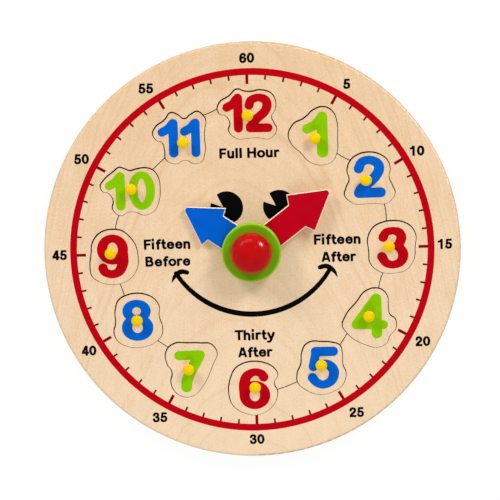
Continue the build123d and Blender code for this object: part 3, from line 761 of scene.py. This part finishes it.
def stroke_field(strokes, xs, ys, flat_ends):
    """How far each point of a grid lies outside the strokes."""
    grid_x, grid_y = np.meshgrid(xs, ys, indexing="ij")
    field = np.full(grid_x.shape, np.inf)
    for stroke in strokes:
        line = smooth_stroke(stroke)
        cut = flat_ends and not np.allclose(line[0], line[-1])
        last = len(line) - 2
        for index, (start, end) in enumerate(zip(line, line[1:])):
            start_x, start_y, start_width = start
            end_x, end_y, end_width = end
            run_x, run_y = end_x - start_x, end_y - start_y
            length = np.hypot(run_x, run_y)
            reach = ((grid_x - start_x) * run_x + (grid_y - start_y) * run_y) / length
            along = np.clip(reach / length, 0, 1)
            away = np.hypot(grid_x - start_x - along * run_x, grid_y - start_y - along * run_y)
            outside = away - (start_width + along * (end_width - start_width)) / 2
            if cut and index == 0:
                outside = np.maximum(outside, -reach)
            if cut and index == last:
                outside = np.maximum(outside, reach - length)
            field = np.minimum(field, outside)
    return field


def crossing_links(field):
    """Which crossings of the field's zero line are joined inside each cell of its grid."""
    inside = field < 0
    counts = inside[:-1, :-1].astype(int) + inside[1:, :-1] + inside[1:, 1:] + inside[:-1, 1:]
    links = {}
    for i, j in np.argwhere((counts > 0) & (counts < 4)):
        corners = [(i, j), (i + 1, j), (i + 1, j + 1), (i, j + 1)]
        edges = [tuple(sorted((corners[k - 1], corners[k]))) for k in range(4)]
        crossed = [(a, b) for a, b in edges if inside[a] != inside[b]]
        for first, second in zip(crossed[::2], crossed[1::2]):
            links.setdefault(first, []).append(second)
            links.setdefault(second, []).append(first)
    return links


def zero_loops(field, xs, ys, step):
    """The closed lines on which the field is zero, with points at even steps."""
    links = crossing_links(field)
    loops = []
    while links:
        edge = next(iter(links))
        loop = []
        while edge in links:
            (i0, j0), (i1, j1) = edge
            share = field[i0, j0] / (field[i0, j0] - field[i1, j1])
            loop.append((xs[i0] + share * (xs[i1] - xs[i0]), ys[j0] + share * (ys[j1] - ys[j0])))
            onward = [other for other in links.pop(edge) if other in links]
            edge = onward[0] if onward else None
        loops.append(even_loop(np.array(loop), step))
    return loops


def even_loop(loop, step):
    """A closed line with its points set at even steps."""
    closed = np.vstack([loop, loop[:1]])
    reach = np.concatenate([[0], np.cumsum(np.hypot(*np.diff(closed, axis=0).T))])
    count = max(OUTLINE_POINTS_MIN, round(reach[-1] / step))
    places = np.linspace(0, reach[-1], count, endpoint=False)
    return np.column_stack([np.interp(places, reach, closed[:, axis]) for axis in (0, 1)])


def stroke_outlines(strokes, trace_step=NUMERAL_TRACE_STEP, outline_step=OUTLINE_STEP, flat_ends=False,
                    spread=0.0):
    """The outlines of a set of inked strokes, whose ink spreads this far beyond them."""
    points = np.array([point for stroke in strokes for point in stroke])
    margin = points[:, 2].max() / 2 + GRID_MARGIN
    low, high = points.min(axis=0) - margin, points.max(axis=0) + margin
    xs = np.arange(low[0], high[0], trace_step)
    ys = np.arange(low[1], high[1], trace_step)
    return zero_loops(stroke_field(strokes, xs, ys, flat_ends) - spread, xs, ys, outline_step)


def print_mesh(name, outlines, rise):
    """A thin closed solid on the face, from outlines. One outline inside another is a hole."""
    curve = bpy.data.curves.new(name, "CURVE")
    curve.dimensions = "2D"
    curve.fill_mode = "BOTH"
    curve.extrude = (PRINT_SINK + rise) / 2 * MM
    for outline in outlines:
        spline = curve.splines.new("POLY")
        spline.points.add(len(outline) - 1)
        for point, (x, y) in zip(spline.points, outline):
            point.co = (x * MM, y * MM, 0, 1)
        spline.use_cyclic_u = True
    holder = bpy.data.objects.new(name, curve)
    mesh = bpy.data.meshes.new_from_object(holder)
    bpy.data.objects.remove(holder)
    bpy.data.curves.remove(curve)
    mesh.transform(Matrix.Translation((0, 0, (FACE_TOP + (rise - PRINT_SINK) / 2) * MM)))
    return mesh


def add_print(name, meshes, finish, body):
    """One printed piece from several meshes, with its seams closed, on a body of the frame."""
    joined = bmesh.new()
    for mesh in meshes:
        joined.from_mesh(mesh)
        bpy.data.meshes.remove(mesh)
    bmesh.ops.remove_doubles(joined, verts=joined.verts, dist=SEAM_GAP * MM)
    result = bpy.data.meshes.new(name)
    joined.to_mesh(result)
    joined.free()
    result.materials.append(finish)
    piece = bpy.data.objects.new(name, result)
    bpy.context.scene.collection.objects.link(piece)
    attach(piece, body)


def circle(radius):
    """Points round the middle of the dial."""
    turns = [2 * pi * k / CIRCLE_POINTS for k in range(CIRCLE_POINTS)]
    return [(radius * cos(turn), radius * sin(turn)) for turn in turns]


def tick_outline(minute, length, width):
    """A tick from under the ring inwards."""
    angle = 2 * pi * minute / MINUTES
    outward = Vector((sin(angle), cos(angle)))
    sideways = Vector((cos(angle), -sin(angle))) * width / 2
    outer_end = outward * (RING_INNER + TICK_OVERLAP)
    inner_end = outward * (RING_INNER - length)
    return [outer_end + sideways, inner_end + sideways, inner_end - sideways, outer_end - sideways]


def text_outlines(text, middle, baseline):
    """The outlines of a line of small print, centred on a point."""
    outlines = []
    pen = middle - sum(ADVANCES[letter] for letter in text) / 2
    for letter in text:
        if letter in GLYPHS:
            traced = stroke_outlines(GLYPHS[letter], GLYPH_TRACE_STEP, GLYPH_TRACE_STEP * 2,
                                     flat_ends=True, spread=GLYPH_SPREAD)
            outlines += [outline + (pen, baseline) for outline in traced]
        pen += ADVANCES[letter]
    return outlines


def minute_number_outlines(minute):
    """The outlines of a minute number, whose middle lies near its place on a circle."""
    angle = 2 * pi * minute / MINUTES
    middle = MINUTE_NUMBER_RADIUS * np.array([sin(angle), cos(angle)]) + MINUTE_NUMBER_SHIFT[minute]
    return text_outlines(str(minute), middle[0], middle[1] - DIGIT_HEIGHT / 2)


def add_minute_ring():
    """The red ring, its ticks and the minute numbers round it."""
    ring = print_mesh("minute_ring", [circle(RING_INNER), circle(RING_OUTER)], PRINT_RISE)
    add_print("minute_ring", [ring], ink("ring_ink", INK_RED), "board")
    hour_marks = range(MINUTES_PER_HOUR_MARK, MINUTES + 1, MINUTES_PER_HOUR_MARK)
    long_ticks = [tick_outline(minute, *LONG_TICK) for minute in hour_marks]
    short_ticks = [tick_outline(minute, *SHORT_TICK) for minute in range(MINUTES)
                   if minute % MINUTES_PER_HOUR_MARK]
    add_print("long_ticks", [print_mesh("long_ticks", long_ticks, TICK_RISE)],
              ink("long_tick_ink", INK_LONG_TICK), "board")
    add_print("short_ticks", [print_mesh("short_ticks", short_ticks, TICK_RISE)],
              ink("short_tick_ink", INK_SHORT_TICK), "board")
    numbers = [print_mesh("minute_numbers", minute_number_outlines(minute), PRINT_RISE)
               for minute in hour_marks]
    add_print("minute_numbers", numbers, ink("number_ink", INK_BLACK), "board")


def eye_outline(centre_x, centre_y):
    """A disc with a bite out of it."""
    start, end = EYE_BITE_ANGLES
    outline = [(centre_x + EYE_BITE_APEX[0], centre_y + EYE_BITE_APEX[1])]
    for angle in np.linspace(end, start + 360, EYE_POINTS):
        turn = radians(angle)
        outline.append((centre_x + EYE_RADIUS * cos(turn), centre_y + EYE_RADIUS * sin(turn)))
    return outline


def smile_stroke():
    """The arc of the smile, a little thicker in the middle."""
    stroke = []
    end_width, middle_width = SMILE_WIDTHS
    for share in np.linspace(0, 1, SMILE_POINTS):
        turn = radians(SMILE_ANGLES[0] + share * (SMILE_ANGLES[1] - SMILE_ANGLES[0]))
        width = end_width + (middle_width - end_width) * sin(pi * share)
        stroke.append((SMILE_CENTRE[0] + SMILE_RADIUS * cos(turn),
                       SMILE_CENTRE[1] + SMILE_RADIUS * sin(turn), width))
    return stroke


def add_printed_face():
    """The words, the eyes and the smile, in black."""
    black = ink("black_ink", INK_BLACK)
    words = [print_mesh("words", text_outlines(text, *place), PRINT_RISE) for text, place in WORDS]
    add_print("words", words, black, "board")
    eyes = print_mesh("eyes", [eye_outline(*centre) for centre in EYE_CENTRES], PRINT_RISE)
    add_print("eyes", [eyes], black, "board")
    smile = print_mesh("smile", stroke_outlines([smile_stroke(), *CHEEKS]), PRINT_RISE)
    add_print("smile", [smile], black, "board")


def add_numerals():
    """The painted numeral on each piece, set out from its peg."""
    inks = {
        "red": ink("numeral_red", INK_RED),
        "blue": ink("numeral_blue", INK_BLUE),
        "green": ink("numeral_green", INK_GREEN),
    }
    for number, strokes in NUMERALS.items():
        peg_low, peg_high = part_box(f"knob_{number}")
        peg = (peg_low + peg_high) / 2 / MM
        middle = np.array(NUMERAL_FROM_PEG[number]) + (peg.x, peg.y)
        mesh = print_mesh(f"numeral_{number}", [outline + middle for outline in stroke_outlines(strokes)],
                          PRINT_RISE)
        colour = NUMERAL_COLOURS[number % len(NUMERAL_COLOURS)]
        add_print(f"numeral_{number}", [mesh], inks[colour], f"piece_{number}")


def add_camera():
    """The camera at the photograph's viewing angle."""
    camera = bpy.data.cameras.new("camera")
    camera.sensor_width = SENSOR_WIDTH
    camera.lens = PIXELS_PER_MM * VIEW_DISTANCE / IMAGE_PIXELS * SENSOR_WIDTH
    middle_pixel = (IMAGE_PIXELS - 1) / 2
    camera.shift_x = (middle_pixel - DIAL_CENTRE_PIXEL[0]) / IMAGE_PIXELS
    camera.shift_y = (DIAL_CENTRE_PIXEL[1] - middle_pixel) / IMAGE_PIXELS
    holder = bpy.data.objects.new("camera", camera)
    bpy.context.scene.collection.objects.link(holder)
    roll, lean = radians(VIEW_ROLL), radians(VIEW_LEAN)
    lean_way = radians(VIEW_ROLL + VIEW_LEAN_FROM_UP)
    up = Vector((sin(roll), cos(roll), 0))
    back = Vector((sin(lean_way) * sin(lean), cos(lean_way) * sin(lean), cos(lean)))
    right = up.cross(back).normalized()
    true_up = back.cross(right)
    place = (Vector((0, 0, FACE_TOP)) + back * VIEW_DISTANCE) * MM
    holder.matrix_world = Matrix.Translation(place) @ Matrix((right, true_up, back)).transposed().to_4x4()
    bpy.context.scene.camera = holder


def add_lamp(name, azimuth, height, distance, size, power):
    """A soft rectangular lamp that faces the dial."""
    turn, lift = radians(azimuth), radians(height)
    lamp = bpy.data.lights.new(name, "AREA")
    lamp.shape = "RECTANGLE"
    lamp.size, lamp.size_y = size
    lamp.energy = power
    holder = bpy.data.objects.new(name, lamp)
    bpy.context.scene.collection.objects.link(holder)
    away = Vector((cos(turn) * cos(lift), sin(turn) * cos(lift), sin(lift)))
    right = Vector((-sin(turn), cos(turn), 0))
    turned = Matrix((right, away.cross(right), away)).transposed().to_4x4()
    holder.matrix_world = Matrix.Translation(away * distance) @ turned
    return holder


def add_lamps():
    """Soft lamps that throw the shadows, and others that only show as highlights in the paint."""
    for name, (share, azimuth, height, size, distance) in LAMPS.items():
        # The power at which a white face shines with this share, by the distance and the slant of the light
        power = share * (pi * distance) ** 2 / sin(radians(height))
        add_lamp(name, azimuth, height, distance, (size, size), power).visible_glossy = False
    for name, (brightness, azimuth, height, width, depth, distance) in GLINTS.items():
        # The power at which a lamp of this size is this bright
        power = brightness * pi * width * depth
        add_lamp(name, azimuth, height, distance, (width, depth), power).visible_diffuse = False


def show_white(tree, plain, seen):
    """A shader that camera, mirror and glass see as one thing and all other light as another."""
    path = tree.nodes.new("ShaderNodeLightPath")
    direct = path.outputs["Is Camera Ray"]
    for ray in ("Is Glossy Ray", "Is Transmission Ray"):
        either = tree.nodes.new("ShaderNodeMath")
        either.operation = "MAXIMUM"
        tree.links.new(direct, either.inputs[0])
        tree.links.new(path.outputs[ray], either.inputs[1])
        direct = either.outputs[0]
    choice = tree.nodes.new("ShaderNodeMixShader")
    tree.links.new(direct, choice.inputs[0])
    tree.links.new(plain, choice.inputs[1])
    tree.links.new(seen, choice.inputs[2])
    return choice.outputs[0]


def set_world():
    """Even light from all round, which shows as white."""
    world = bpy.data.worlds.new("studio")
    bpy.context.scene.world = world
    world.use_nodes = True
    tree = world.node_tree
    tree.nodes.clear()
    plain = tree.nodes.new("ShaderNodeBackground")
    plain.inputs["Strength"].default_value = AMBIENT_SHARE
    white = tree.nodes.new("ShaderNodeBackground")
    for background in (plain, white):
        background.inputs["Color"].default_value = WHITE
    result = tree.nodes.new("ShaderNodeOutputWorld")
    tree.links.new(show_white(tree, plain.outputs[0], white.outputs[0]), result.inputs["Surface"])


def add_floor():
    """A pale floor that shows as white and still takes the clock's shadow."""
    mesh = bpy.data.meshes.new("floor")
    half = FLOOR_HALF_SIZE
    corners = [(-half, -half, -FLOOR_DROP), (half, -half, -FLOOR_DROP),
               (half, half, -FLOOR_DROP), (-half, half, -FLOOR_DROP)]
    mesh.from_pydata(corners, [], [(0, 1, 2, 3)])
    material = bpy.data.materials.new("floor_white")
    material.use_nodes = True
    tree = material.node_tree
    tree.nodes.clear()
    plain = tree.nodes.new("ShaderNodeBsdfDiffuse")
    plain.inputs["Color"].default_value = (FLOOR_GREY, FLOOR_GREY, FLOOR_GREY, 1)
    glow = tree.nodes.new("ShaderNodeEmission")
    glow.inputs["Strength"].default_value = FLOOR_GLOW
    shaded = tree.nodes.new("ShaderNodeMixShader")
    shaded.inputs[0].default_value = FLOOR_GLOW_SHARE
    tree.links.new(plain.outputs[0], shaded.inputs[1])
    tree.links.new(glow.outputs[0], shaded.inputs[2])
    result = tree.nodes.new("ShaderNodeOutputMaterial")
    tree.links.new(show_white(tree, plain.outputs[0], shaded.outputs[0]), result.inputs["Surface"])
    mesh.materials.append(material)
    floor = bpy.data.objects.new("floor", mesh)
    bpy.context.scene.collection.objects.link(floor)


dress_nodes()
add_minute_ring()
add_printed_face()
add_numerals()
add_camera()
add_lamps()
set_world()
add_floor()
bpy.context.scene.view_settings.view_transform = "Standard"
